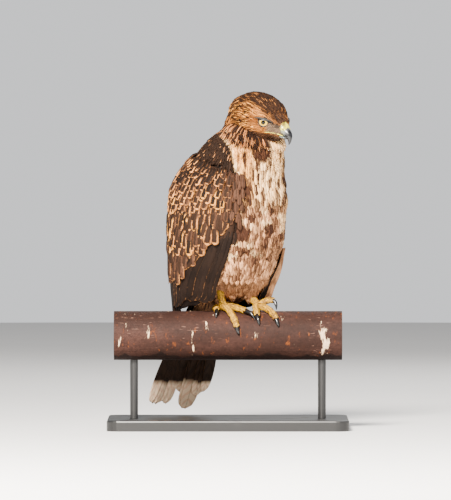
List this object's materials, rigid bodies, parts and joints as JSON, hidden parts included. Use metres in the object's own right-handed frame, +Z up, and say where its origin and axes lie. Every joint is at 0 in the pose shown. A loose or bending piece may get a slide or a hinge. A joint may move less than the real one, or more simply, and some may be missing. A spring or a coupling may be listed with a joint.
{
  "type": "perched red-tailed hawk",
  "caption": "Perched hawk with folded wings and a hanging tail, gripping a cut length of round pipe that rods hold over a flat display base.",
  "frame": {"origin": "middle of the underside of the display base", "axes": "+Z up; the pipe runs along X; the bird is seen from -Y, its breast turned 45 degrees towards +X"},
  "size_m": [0.36, 0.25, 0.5021],
  "materials": {
    "body_plumage": "soft buff and cream feathers with brown streaks",
    "wing_plumage": "dark brown feathers with buff fringes",
    "tail_plumage": "brown barred feathers with pale tips",
    "foot_skin": "yellow scaled skin",
    "cere_skin": "pale yellow-green skin, satin",
    "horn": "black horn, glossy",
    "eye": "pale yellow iris under a clear cornea",
    "rusted_pipe": "matt rust with pale streaks",
    "stand_board": "dark grey satin paint",
    "stand_rods": "dark grey satin paint"
  },
  "bodies": {
    "root": {"cere": "cere_skin", "claw_left_hind": "horn", "claw_left_inner": "horn", "claw_left_middle": "horn", "claw_left_outer": "horn", "claw_right_hind": "horn", "claw_right_inner": "horn", "claw_right_middle": "horn", "claw_right_outer": "horn", "eye_left": "eye", "eye_right": "eye", "head": "body_plumage", "lower_bill": "horn", "neck": "body_plumage", "perch_pipe": "rusted_pipe", "stand_base": "stand_board", "stand_rod_left": "stand_rods", "stand_rod_right": "stand_rods", "tail": "tail_plumage", "tarsus_left": "foot_skin", "tarsus_right": "foot_skin", "thigh_left": "body_plumage", "thigh_right": "body_plumage", "toe_left_hind": "foot_skin", "toe_left_inner": "foot_skin", "toe_left_middle": "foot_skin", "toe_left_outer": "foot_skin", "toe_right_hind": "foot_skin", "toe_right_inner": "foot_skin", "toe_right_middle": "foot_skin", "toe_right_outer": "foot_skin", "torso": "body_plumage", "upper_bill": "horn", "wing_left": "wing_plumage", "wing_right": "wing_plumage"}
  },
  "joints": []
}
